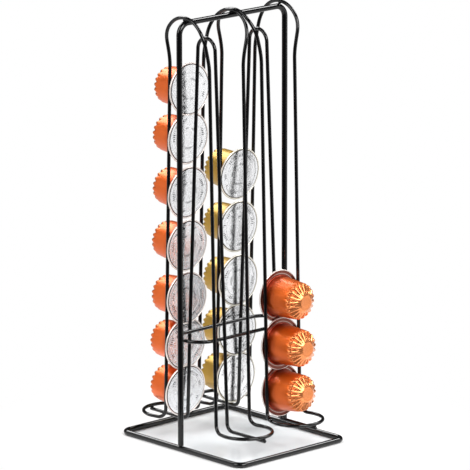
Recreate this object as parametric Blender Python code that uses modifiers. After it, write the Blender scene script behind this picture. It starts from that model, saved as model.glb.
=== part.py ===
"""Coffee capsule dispenser: a free-standing tower of bent and welded steel wire.

A hoop of thick wire stands on a rectangular base ring. Two closed guide loops hang over the
hoop's bar and bend out at the bottom into four landing loops, so that they make four channels.
An inner guide stands behind each pair of channels, and a stadium ring spreads the inner guides.
Fifteen capsules stand in three of the channels, rims between the outer and the inner guides.

Frame: metres, +Z up, origin on the table under the middle of the tower. The hoop lies in the
XZ plane. The channels at +Y and -Y face away from the hoop.
"""
import math

import bmesh
import bpy
from mathutils import Matrix, Vector

MM = 0.001

# Wire and the gap kept where two separate pieces touch
THICK_WIRE = 4.0 * MM
THIN_WIRE = 2.5 * MM
TOUCH_GAP = 0.3 * MM
THICK_SIDES_RESOLUTION = 4
THIN_SIDES_RESOLUTION = 2

# Base ring, measured between wire centres
BASE_DEPTH_Y = 119.4 * MM
BASE_CORNER_RADIUS = 6.0 * MM
REST_FLAT_DEPTH = 0.15 * MM

# Hoop
HOOP_TOP_Z = 299.7 * MM
HOOP_CORNER_RADIUS = 8.0 * MM
LEG_FROM_STRAND = 9.45 * MM

# Outer guides: how far a strand laps over a rim, half the space between the two guides,
# and the strands' distance from the hoop's plane at the table and where the arch begins
STRAND_LAP = 2.9 * MM
MIDDLE_STRAND_X = 8.5 * MM
OUTER_GUIDE_LOW_Y = 26.2 * MM
ARCH_RADIUS = 19.4 * MM

# Mouth between two arches: it widens over this length and stays wide to the top
MOUTH_CLEARANCE = 0.45 * MM
FLARE_START_BELOW_ARCH = 17.0 * MM
OUTER_FLARE_END_FROM_TOP = 18.0 * MM
INNER_FLARE_END_FROM_TOP = 9.0 * MM

# Landing loops at the foot of the outer guides
LANDING_LOOP_Z = 16.8 * MM
LANDING_LOOP_WIDENING = 2.8 * MM
LANDING_LOOP_CENTRE_Y = 38.4 * MM
STRAND_BEND_RADIUS = 6.0 * MM

# Inner guides: leg places after the foot bend, at the spreader ring and under the arch
INNER_LEG_FOOT_Y = 19.9 * MM
INNER_LEG_RING_Y = 17.7 * MM
INNER_ARCH_RADIUS = 8.6 * MM
INNER_ARCH_TOP_Z = 286.5 * MM
FOOT_BEND_RADIUS = 5.5 * MM
FOOT_OVERRUN = 1.6 * MM

# Spreader ring
SPREADER_Z = 78.2 * MM

# Capsule
RIM_RADIUS = 18.5 * MM
RIM_THICKNESS = 1.1 * MM
RIM_BEAD_WIDTH = 1.1 * MM
FLANGE_THICKNESS = 0.4 * MM
BODY_FOOT_RADIUS = 14.1 * MM
SHOULDER_RADIUS = 12.8 * MM
SHOULDER_HEIGHT = 23.0 * MM
END_FLAT_RADIUS = 4.85 * MM
CAPSULE_HEIGHT = 28.0 * MM
SHELL_WALL = 0.5 * MM
LID_THICKNESS = 0.3 * MM
CAPSULE_SIDES = 24

# How the capsules stand in the channels, lowest first. A lean above zero hangs the dome
# below the rim's middle. The numbers are of capsules: under rim_on_rim, those whose rims stand
# above the rim below instead of nesting with it, and under laps_outside, those whose rims
# pass outside the rim below, towards the domes. The other rims pass inside it.
COLUMNS = (
    {"name": "left", "side_x": -1, "side_y": 1, "finish": "orange",
     "spacing_shares": (1.011, 1.005, 1.000, 1.011, 1.030, 1.049),
     "leans_deg": (-5.0, -1.2, 0.5, -4.0, -4.7, -1.5, 0.5),
     "rim_on_rim": (4, 5, 6), "laps_outside": (2,)},
    {"name": "back", "side_x": 1, "side_y": 1, "finish": "gold",
     "spacing_shares": (1.052, 1.088, 1.032, 1.011),
     "leans_deg": (-2.2, 2.0, -1.5, -3.0, -5.5),
     "rim_on_rim": (4, 5), "laps_outside": ()},
    {"name": "right", "side_x": 1, "side_y": -1, "finish": "orange",
     "spacing_shares": (1.011, 1.030),
     "leans_deg": (-4.5, -1.6, 0.5),
     "rim_on_rim": (), "laps_outside": (2,)},
)

# Sizes that follow from the ones above
THICK_RADIUS = THICK_WIRE / 2
THIN_RADIUS = THIN_WIRE / 2
THIN_STEP = THIN_WIRE + TOUCH_GAP
BASE_Z = THICK_RADIUS - REST_FLAT_DEPTH
HOOP_FOOT_Z = BASE_Z + THICK_RADIUS + TOUCH_GAP
ARCH_TOP_Z = HOOP_TOP_Z + THICK_RADIUS + THIN_RADIUS + TOUCH_GAP
ARCH_CENTRE_Z = ARCH_TOP_Z - ARCH_RADIUS
STRAND_SPREAD = RIM_RADIUS - STRAND_LAP
CHANNEL_CENTRE_X = MIDDLE_STRAND_X + STRAND_SPREAD
BASE_WIDTH_X = 2 * (CHANNEL_CENTRE_X + STRAND_SPREAD + LEG_FROM_STRAND)
OUTER_FLARE = STRAND_LAP + THIN_RADIUS + MOUTH_CLEARANCE
INNER_FLARE = MIDDLE_STRAND_X - THIN_STEP / 2
LANDING_LOOP_RADIUS = STRAND_SPREAD + LANDING_LOOP_WIDENING
LANDING_BEND_Z = LANDING_LOOP_Z + STRAND_BEND_RADIUS
FOOT_Z = LANDING_LOOP_Z - THIN_STEP
FOOT_BEND_Z = FOOT_Z + FOOT_BEND_RADIUS
FOOT_END_Y = LANDING_LOOP_CENTRE_Y + LANDING_LOOP_RADIUS + FOOT_OVERRUN
INNER_ARCH_CENTRE_Z = INNER_ARCH_TOP_Z - INNER_ARCH_RADIUS
SPREADER_Y = INNER_LEG_RING_Y - THIN_STEP
SPREADER_X = BASE_WIDTH_X / 2 - THICK_RADIUS - THIN_RADIUS - TOUCH_GAP
NESTED_PITCH = RIM_RADIUS + BODY_FOOT_RADIUS + TOUCH_GAP
RIM_ON_RIM_PITCH = 2 * RIM_RADIUS + TOUCH_GAP
LID_RADIUS = RIM_RADIUS - RIM_BEAD_WIDTH - TOUCH_GAP


def remove_everything():
    for old in list(bpy.data.objects):
        bpy.data.objects.remove(old, do_unlink=True)


def new_collection(name):
    collection = bpy.data.collections.new(name)
    bpy.context.scene.collection.children.link(collection)
    return collection


def new_material(name, colour, roughness, metallic):
    material = bpy.data.materials.new(name)
    material.use_nodes = True
    shader = material.node_tree.nodes["Principled BSDF"]
    shader.inputs["Base Color"].default_value = (*colour, 1.0)
    shader.inputs["Roughness"].default_value = roughness
    shader.inputs["Metallic"].default_value = metallic
    return material


def smoothstep(share):
    share = min(1.0, max(0.0, share))
    return share * share * (3.0 - 2.0 * share)


def arc_angles(start_deg, end_deg, steps):
    start = math.radians(start_deg)
    span = math.radians(end_deg) - start
    return [start + span * index / steps for index in range(steps + 1)]


def mirrored(points, x=1, y=1):
    return [(px * x, py * y, pz) for px, py, pz in points]


def wire_object(name, points, radius, resolution, cyclic, material, collection):
    """A bent wire: one poly spline through the points, with the wire's round section."""
    curve = bpy.data.curves.new(name, "CURVE")
    curve.dimensions = "3D"
    curve.twist_mode = "MINIMUM"
    curve.bevel_depth = radius
    curve.bevel_resolution = resolution
    curve.use_fill_caps = not cyclic
    spline = curve.splines.new("POLY")
    spline.points.add(len(points) - 1)
    for point, place in zip(spline.points, points):
        point.co = (*place, 1.0)
    spline.use_cyclic_u = cyclic
    spline.use_smooth = True
    curve.materials.append(material)
    wire = bpy.data.objects.new(name, curve)
    collection.objects.link(wire)
    return wire


def curve_to_mesh(wire, collection):
    """The same wire as a mesh with welded caps, so that it can be cut."""
    evaluated = wire.evaluated_get(bpy.context.evaluated_depsgraph_get())
    mesh = bpy.data.meshes.new_from_object(evaluated)
    name = wire.name
    place = wire.matrix_world.copy()
    bpy.data.objects.remove(wire, do_unlink=True)
    shape = bmesh.new()
    shape.from_mesh(mesh)
    bmesh.ops.remove_doubles(shape, verts=shape.verts, dist=THIN_WIRE / 1000)
    shape.to_mesh(mesh)
    shape.free()
    solid = bpy.data.objects.new(name, mesh)
    solid.matrix_world = place
    collection.objects.link(solid)
    return solid


def base_points():
    """Rounded rectangle through the wire's centre."""
    points = []
    reach_x = BASE_WIDTH_X / 2 - BASE_CORNER_RADIUS
    reach_y = BASE_DEPTH_Y / 2 - BASE_CORNER_RADIUS
    for side_x, side_y, start in ((1, 1, 0), (-1, 1, 90), (-1, -1, 180), (1, -1, 270)):
        for angle in arc_angles(start, start + 90, 5):
            points.append((side_x * reach_x + BASE_CORNER_RADIUS * math.cos(angle),
                           side_y * reach_y + BASE_CORNER_RADIUS * math.sin(angle),
                           BASE_Z))
    return points


def hoop_points():
    """Inverted U from one foot on the base ring to the other."""
    leg_x = BASE_WIDTH_X / 2
    corner_x = leg_x - HOOP_CORNER_RADIUS
    corner_z = HOOP_TOP_Z - HOOP_CORNER_RADIUS
    half = [(leg_x, 0.0, HOOP_FOOT_Z)]
    for angle in arc_angles(0, 90, 6):
        half.append((corner_x + HOOP_CORNER_RADIUS * math.cos(angle), 0.0,
                     corner_z + HOOP_CORNER_RADIUS * math.sin(angle)))
    return half + mirrored(reversed(half), x=-1)


def outer_guide_y(z):
    """Distance of an outer strand's centre from the hoop's plane at height z."""
    return OUTER_GUIDE_LOW_Y + (ARCH_RADIUS - OUTER_GUIDE_LOW_Y) * z / ARCH_CENTRE_Z


def strand_points(side, flare, flare_end):
    """One strand from the top of its arch down to the tip of its landing loop.

    side is 1 for the strand away from the tower's middle and -1 for the one beside it.
    """
    quarter = ARCH_RADIUS * math.pi / 2
    flare_start = quarter + FLARE_START_BELOW_ARCH
    flare_length = flare_start - flare_end
    points = []
    for angle in arc_angles(90, 0, 8):
        below_top = ARCH_RADIUS * (math.pi / 2 - angle)
        spread = STRAND_SPREAD + flare * smoothstep((flare_start - below_top) / flare_length)
        points.append((CHANNEL_CENTRE_X + side * spread, ARCH_RADIUS * math.cos(angle),
                       ARCH_CENTRE_Z + ARCH_RADIUS * math.sin(angle)))
    for drop_share in (0.25, 0.5, 0.75, 1.0):
        drop = FLARE_START_BELOW_ARCH * drop_share
        spread = STRAND_SPREAD + flare * smoothstep((flare_start - quarter - drop) / flare_length)
        z = ARCH_CENTRE_Z - drop
        points.append((CHANNEL_CENTRE_X + side * spread, outer_guide_y(z), z))
    bend_y = outer_guide_y(LANDING_BEND_Z) + STRAND_BEND_RADIUS
    bend_length = STRAND_BEND_RADIUS * math.pi / 2
    ease_length = bend_length + LANDING_LOOP_CENTRE_Y - bend_y
    widening = LANDING_LOOP_RADIUS - STRAND_SPREAD
    for angle in arc_angles(180, 270, 5):
        along = STRAND_BEND_RADIUS * (angle - math.pi)
        spread = STRAND_SPREAD + widening * smoothstep(along / ease_length)
        points.append((CHANNEL_CENTRE_X + side * spread,
                       bend_y + STRAND_BEND_RADIUS * math.cos(angle),
                       LANDING_BEND_Z + STRAND_BEND_RADIUS * math.sin(angle)))
    for share in (0.5, 1.0):
        along = bend_length + (ease_length - bend_length) * share
        spread = STRAND_SPREAD + widening * smoothstep(along / ease_length)
        points.append((CHANNEL_CENTRE_X + side * spread,
                       bend_y + along - bend_length, LANDING_LOOP_Z))
    for angle in arc_angles(0, 90, 6)[1:]:
        points.append((CHANNEL_CENTRE_X + side * LANDING_LOOP_RADIUS * math.cos(angle),
                       LANDING_LOOP_CENTRE_Y + LANDING_LOOP_RADIUS * math.sin(angle),
                       LANDING_LOOP_Z))
    return points


def guide_loop_points():
    """The closed loop: two arches over the bar, joined by a landing loop on each side."""
    outer = strand_points(1, OUTER_FLARE, OUTER_FLARE_END_FROM_TOP)
    inner = strand_points(-1, INNER_FLARE, INNER_FLARE_END_FROM_TOP)
    front_half = outer + list(reversed(inner))[1:]
    back_half = mirrored(reversed(front_half), y=-1)
    return front_half + back_half[1:-1]


def inner_leg_y(z):
    """Distance of an inner guide's leg from the hoop's plane at height z above its foot bend."""
    if z > SPREADER_Z:
        share = (z - SPREADER_Z) / (INNER_ARCH_CENTRE_Z - SPREADER_Z)
        return INNER_LEG_RING_Y + (INNER_ARCH_RADIUS - INNER_LEG_RING_Y) * share
    share = (z - FOOT_BEND_Z) / (SPREADER_Z - FOOT_BEND_Z)
    return INNER_LEG_FOOT_Y + (INNER_LEG_RING_Y - INNER_LEG_FOOT_Y) * share


def inner_guide_points():
    """Inverted U whose legs spread downwards and bend out under the landing loops."""
    half = []
    for angle in arc_angles(90, 0, 6):
        half.append((CHANNEL_CENTRE_X, INNER_ARCH_RADIUS * math.cos(angle),
                     INNER_ARCH_CENTRE_Z + INNER_ARCH_RADIUS * math.sin(angle)))
    half.append((CHANNEL_CENTRE_X, inner_leg_y(SPREADER_Z), SPREADER_Z))
    for angle in arc_angles(180, 270, 5):
        half.append((CHANNEL_CENTRE_X,
                     INNER_LEG_FOOT_Y + FOOT_BEND_RADIUS * (1 + math.cos(angle)),
                     FOOT_BEND_Z + FOOT_BEND_RADIUS * math.sin(angle)))
    half.append((CHANNEL_CENTRE_X, FOOT_END_Y, FOOT_Z))
    return mirrored(reversed(half), y=-1) + half[1:]


def spreader_points():
    """Stadium between the hoop's legs, its straights inside the inner guides."""
    centre_x = SPREADER_X - SPREADER_Y
    half = [(centre_x + SPREADER_Y * math.cos(angle), SPREADER_Y * math.sin(angle), SPREADER_Z)
            for angle in arc_angles(-90, 90, 10)]
    return half + [(-x, -y, z) for x, y, z in half]


def cut_rest_flat(ring, collection):
    """A narrow flat along the underside, which the tower stands on."""
    size = max(BASE_WIDTH_X, BASE_DEPTH_Y) + 2 * THICK_WIRE
    bpy.ops.mesh.primitive_cube_add(size=1.0, location=(0.0, 0.0, -THICK_WIRE / 2))
    cutter = bpy.context.active_object
    cutter.name = "table_cutter"
    cutter.scale = (size, size, THICK_WIRE)
    for holder in list(cutter.users_collection):
        holder.objects.unlink(cutter)
    collection.objects.link(cutter)
    cutter.hide_render = True
    cutter.display_type = "WIRE"
    cut = ring.modifiers.new("rest_flat", "BOOLEAN")
    cut.operation = "DIFFERENCE"
    cut.object = cutter


def build_frame(collection, cutters, material):
    base = wire_object("base_ring", base_points(), THICK_RADIUS, THICK_SIDES_RESOLUTION,
                       True, material, collection)
    base = curve_to_mesh(base, collection)
    cut_rest_flat(base, cutters)
    wire_object("hoop", hoop_points(), THICK_RADIUS, THICK_SIDES_RESOLUTION,
                False, material, collection)
    for word, side in (("left", -1), ("right", 1)):
        wire_object(word + "_guide_loop", mirrored(guide_loop_points(), x=side), THIN_RADIUS,
                    THIN_SIDES_RESOLUTION, True, material, collection)
        wire_object(word + "_inner_guide", mirrored(inner_guide_points(), x=side), THIN_RADIUS,
                    THIN_SIDES_RESOLUTION, False, material, collection)
    wire_object("spreader_ring", spreader_points(), THIN_RADIUS, THIN_SIDES_RESOLUTION,
                True, material, collection)


def shell_profile():
    """Cup from the outside of its end, round the rim and back along the inside."""
    slope = (BODY_FOOT_RADIUS - SHOULDER_RADIUS) / (SHOULDER_HEIGHT - RIM_THICKNESS)
    web_z = RIM_THICKNESS - FLANGE_THICKNESS
    inner_shoulder_z = SHOULDER_HEIGHT - SHELL_WALL
    bead_inner = RIM_RADIUS - RIM_BEAD_WIDTH
    return [
        (0.0, CAPSULE_HEIGHT),
        (END_FLAT_RADIUS, CAPSULE_HEIGHT),
        (SHOULDER_RADIUS, SHOULDER_HEIGHT),
        (BODY_FOOT_RADIUS, RIM_THICKNESS),
        (RIM_RADIUS, RIM_THICKNESS),
        (RIM_RADIUS, 0.0),
        (bead_inner, 0.0),
        (bead_inner, web_z),
        (BODY_FOOT_RADIUS - SHELL_WALL + slope * FLANGE_THICKNESS, web_z),
        (SHOULDER_RADIUS - SHELL_WALL, inner_shoulder_z),
        (END_FLAT_RADIUS - SHELL_WALL, CAPSULE_HEIGHT - SHELL_WALL),
        (0.0, CAPSULE_HEIGHT - SHELL_WALL),
    ]


def turned_mesh(name, profile, material):
    mesh = bpy.data.meshes.new(name)
    vertices = [(radius, 0.0, z) for radius, z in profile]
    edges = [(index, index + 1) for index in range(len(vertices) - 1)]
    mesh.from_pydata(vertices, edges, [])
    mesh.materials.append(material)
    return mesh


def turned_object(name, mesh, parent, collection):
    turned = bpy.data.objects.new(name, mesh)
    screw = turned.modifiers.new("turn", "SCREW")
    screw.steps = CAPSULE_SIDES
    screw.render_steps = CAPSULE_SIDES
    screw.use_merge_vertices = True
    screw.merge_threshold = SHELL_WALL / 100
    screw.use_smooth_shade = False
    turned.parent = parent
    collection.objects.link(turned)
    return turned


def lid_profile():
    """Foil disc inside the rim's bead, its face level with the bead."""
    return [(0.0, LID_THICKNESS), (LID_RADIUS, LID_THICKNESS), (LID_RADIUS, 0.0), (0.0, 0.0)]


def strand_contact_height():
    """Half the height over which an outer strand crosses the rim's face."""
    return math.sqrt(RIM_RADIUS ** 2 - STRAND_SPREAD ** 2)


def held_lean(lean, centre_z):
    """The lean, or as much of it as fits between the outer and inner guides."""
    side = math.copysign(1.0, lean)
    outer = outer_guide_y(centre_z + side * strand_contact_height()) - THIN_RADIUS
    inner = inner_leg_y(centre_z - side * RIM_RADIUS) + THIN_RADIUS
    slack = outer - inner - RIM_THICKNESS - 2 * TOUCH_GAP
    limit = math.atan2(slack, strand_contact_height() + RIM_RADIUS)
    return side * min(abs(lean), limit)


def rim_face_y(centre_z, lean):
    """Distance from the hoop's plane to the rim's inner face, at the capsule's centre."""
    room = []
    for side in (-1, 1):
        height = side * strand_contact_height()
        room.append(outer_guide_y(centre_z + height) - height * math.tan(lean))
    return min(room) - THIN_RADIUS - TOUCH_GAP - RIM_THICKNESS / math.cos(lean)


def seat_height(lean):
    """Centre height at which the lowest rim stands in the foot bend of the inner guide."""
    bend_y = INNER_LEG_FOOT_Y + FOOT_BEND_RADIUS
    room = FOOT_BEND_RADIUS - THIN_RADIUS - TOUCH_GAP
    centre_z = FOOT_BEND_Z + RIM_RADIUS
    for _ in range(4):
        edge_y = rim_face_y(centre_z, lean) - RIM_RADIUS * math.sin(lean)
        drop = math.sqrt(max(0.0, room ** 2 - (bend_y - edge_y) ** 2))
        centre_z = FOOT_BEND_Z - drop + RIM_RADIUS * math.cos(lean)
    return centre_z


def inside_rim_below(place, below):
    """The same place, moved in where the rim's lower edge would meet the rim below."""
    centre_z, face_y, lean = place
    below_z, below_y, below_lean = below
    reach = RIM_RADIUS * (math.cos(lean) + math.cos(below_lean)) + TOUCH_GAP
    if centre_z - below_z > reach:
        return place
    edge_y = below_y + RIM_RADIUS * (math.sin(below_lean) + math.sin(lean))
    return centre_z, min(face_y, edge_y - RIM_THICKNESS / math.cos(lean) - TOUCH_GAP), lean


def column_places(column):
    """Height, distance from the hoop's plane and lean of each capsule, lowest first."""
    leans = [math.radians(lean) for lean in column["leans_deg"]]
    centre_z = seat_height(leans[0])
    places = [(centre_z, rim_face_y(centre_z, leans[0]), leans[0])]
    for number, share in enumerate(column["spacing_shares"], start=2):
        apart = number in column["rim_on_rim"]
        centre_z += share * (RIM_ON_RIM_PITCH if apart else NESTED_PITCH)
        lean = held_lean(leans[number - 1], centre_z)
        place = centre_z, rim_face_y(centre_z, lean), lean
        if number not in column["laps_outside"]:
            place = inside_rim_below(place, places[-1])
        places.append(place)
    return places


def capsule_seat(name, side_x, side_y, place, collection):
    """Empty on the rim's face, with its Z axis along the capsule towards the dome."""
    centre_z, face_y, lean = place
    dome = Vector((0.0, side_y * math.cos(lean), -math.sin(lean)))
    across = Vector((1.0, 0.0, 0.0))
    turn = Matrix((across, dome.cross(across), dome)).transposed()
    seat = bpy.data.objects.new(name, None)
    seat.location = (side_x * CHANNEL_CENTRE_X, side_y * face_y, centre_z)
    seat.rotation_euler = turn.to_euler()
    seat.empty_display_size = RIM_RADIUS
    collection.objects.link(seat)
    return seat


def build_capsules(collection, finishes, foil):
    shells = {word: turned_mesh(word + "_shell", shell_profile(), finishes[word])
              for word in finishes}
    lid = turned_mesh("foil_lid", lid_profile(), foil)
    for column in COLUMNS:
        for number, place in enumerate(column_places(column), start=1):
            name = f"{column['name']}_capsule_{number}"
            seat = capsule_seat(name + "_seat", column["side_x"], column["side_y"],
                                place, collection)
            turned_object(name + "_shell", shells[column["finish"]], seat, collection)
            turned_object(name + "_lid", lid, seat, collection)


def main():
    remove_everything()
    dispenser = new_collection("coffee_capsule_dispenser")
    cutters = new_collection("cutters")
    enamel = new_material("black_enamelled_steel_wire", (0.012, 0.012, 0.013), 0.18, 0.0)
    finishes = {
        "orange": new_material("orange_anodised_aluminium", (0.80, 0.17, 0.03), 0.35, 0.85),
        "gold": new_material("gold_anodised_aluminium", (0.62, 0.40, 0.10), 0.35, 0.85),
    }
    foil = new_material("silver_aluminium_foil", (0.75, 0.76, 0.78), 0.30, 0.90)
    build_frame(dispenser, cutters, enamel)
    build_capsules(dispenser, finishes, foil)


main()
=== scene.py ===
import math
import random

import bpy
import numpy as np
from mathutils import Matrix, Vector


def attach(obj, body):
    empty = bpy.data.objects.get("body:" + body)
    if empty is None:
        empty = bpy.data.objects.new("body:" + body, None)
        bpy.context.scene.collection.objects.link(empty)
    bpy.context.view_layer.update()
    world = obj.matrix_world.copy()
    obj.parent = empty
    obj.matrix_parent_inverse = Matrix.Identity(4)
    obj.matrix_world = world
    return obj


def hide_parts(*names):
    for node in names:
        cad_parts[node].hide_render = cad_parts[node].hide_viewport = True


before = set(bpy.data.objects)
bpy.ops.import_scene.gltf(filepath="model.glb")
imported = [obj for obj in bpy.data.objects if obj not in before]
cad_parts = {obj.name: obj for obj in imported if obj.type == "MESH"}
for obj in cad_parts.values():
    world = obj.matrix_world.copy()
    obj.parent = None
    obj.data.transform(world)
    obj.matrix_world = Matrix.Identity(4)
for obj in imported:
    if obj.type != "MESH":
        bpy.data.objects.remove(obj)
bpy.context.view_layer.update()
mm = 0.001


def fromHex(code):
    # sRGB hex to the linear colour that a socket takes
    channels = [int(code[place:place + 2], 16) / 255 for place in (0, 2, 4)]
    return [c / 12.92 if c <= 0.04045 else ((c + 0.055) / 1.055) ** 2.4 for c in channels] + [1.0]


def addNode(tree, kind, inputs=None, **settings):
    # inputs: socket name or number to a value, or to another node's output socket. A Mix
    # node's sockets go by number: 2 and 3 are its two numbers, 6 and 7 its two colours.
    node = tree.nodes.new(kind)
    for name, value in settings.items():
        setattr(node, name, value)
    for key, value in (inputs or {}).items():
        if isinstance(value, bpy.types.NodeSocket):
            tree.links.new(value, node.inputs[key])
        else:
            node.inputs[key].default_value = value
    return node


def newMaterial(name):
    material = bpy.data.materials.new(name)
    material.use_nodes = True
    material.node_tree.nodes.clear()
    return material, material.node_tree


enamel = {
    "colour": "030304", "thinColour": "070708", "roughness": 0.13, "ior": 1.45,
    "waveMm": 2.6, "waveDepthMm": 0.004, "grainMm": 0.5, "grainDepthMm": 0.0006,
}


def makeEnamel():
    # Stoving enamel over drawn steel wire: near black, glossy, with the faint long waves of a
    # dipped coat and a fine orange peel that breaks up the edges of its highlights.
    material, tree = newMaterial("Black stoving enamel, glossy")
    place = addNode(tree, "ShaderNodeTexCoord")
    wave = addNode(tree, "ShaderNodeTexNoise", {
        "Vector": place.outputs["Object"], "Scale": 1 / (enamel["waveMm"] * mm), "Detail": 2.0})
    grain = addNode(tree, "ShaderNodeTexNoise", {
        "Vector": place.outputs["Object"], "Scale": 1 / (enamel["grainMm"] * mm), "Detail": 1.0})
    colour = addNode(tree, "ShaderNodeMix", {
        "Factor": wave.outputs["Fac"], 6: fromHex(enamel["colour"]),
        7: fromHex(enamel["thinColour"])}, data_type="RGBA")
    longBump = addNode(tree, "ShaderNodeBump", {
        "Height": wave.outputs["Fac"], "Distance": enamel["waveDepthMm"] * mm, "Strength": 1.0})
    fineBump = addNode(tree, "ShaderNodeBump", {
        "Height": grain.outputs["Fac"], "Distance": enamel["grainDepthMm"] * mm,
        "Strength": 1.0, "Normal": longBump.outputs["Normal"]})
    shader = addNode(tree, "ShaderNodeBsdfPrincipled", {
        "Base Color": colour.outputs[2], "Roughness": enamel["roughness"],
        "IOR": enamel["ior"], "Normal": fineBump.outputs["Normal"]})
    addNode(tree, "ShaderNodeOutputMaterial", {"Surface": shader.outputs["BSDF"]})
    return material


def between(tree, value, low, high, soft):
    # 1 where the value lies between the two limits, with soft ends
    rise = addNode(tree, "ShaderNodeMapRange", {
        "Value": value, "From Min": low - soft, "From Max": low + soft})
    fall = addNode(tree, "ShaderNodeMapRange", {
        "Value": value, "From Min": high - soft, "From Max": high + soft, "To Min": 1.0,
        "To Max": 0.0})
    return addNode(tree, "ShaderNodeMath", {0: rise.outputs["Result"],
                                            1: fall.outputs["Result"]},
                   operation="MULTIPLY").outputs["Value"]


anodised = {
    "metal": 0.74, "beadMetal": 0.4, "wallRoughness": 0.44, "endRoughness": 0.24,
    "rimRoughness": 0.24, "coat": 0.22, "coatRoughness": 0.22,
    "mottleMm": 9.0, "mottleShare": 0.4, "streakMm": 0.6, "streakStretch": 0.06,
    "streakDepthMm": 0.004,
    # footShade keys: a painted shade, the wall darker towards its foot
    "footShadeFromMm": 1.0, "footShadeToMm": 10.0, "footShadeShare": 0.9, "endFromMm": 20.0, "endAtMm": 23.5,
    "flangeMm": 14.4, "flangeSoftMm": 0.5, "stepMm": 15.5, "stepWidthMm": 0.4,
    "stepSoftMm": 0.12, "stepShare": 0.45, "beadMm": 17.75, "beadSoftMm": 0.2,
    "backMm": 0.3, "backSoftMm": 0.1,
}
# In each dye, foot is the colour of a painted shade at the foot of the wall, end a painted
# reflection of the white table on the end, flange a painted reflection of the dark surroundings on
# the flange
dyes = {
    "orange": {"wall": "ea6c1c", "foot": "9e2e08", "end": "e2884e", "flange": "763a2a",
               "bead": "ece2dc"},
    "gold": {"wall": "c09a3a", "foot": "806018", "end": "c8a85c", "flange": "806a3c",
             "bead": "ebe6da"},
}


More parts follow.
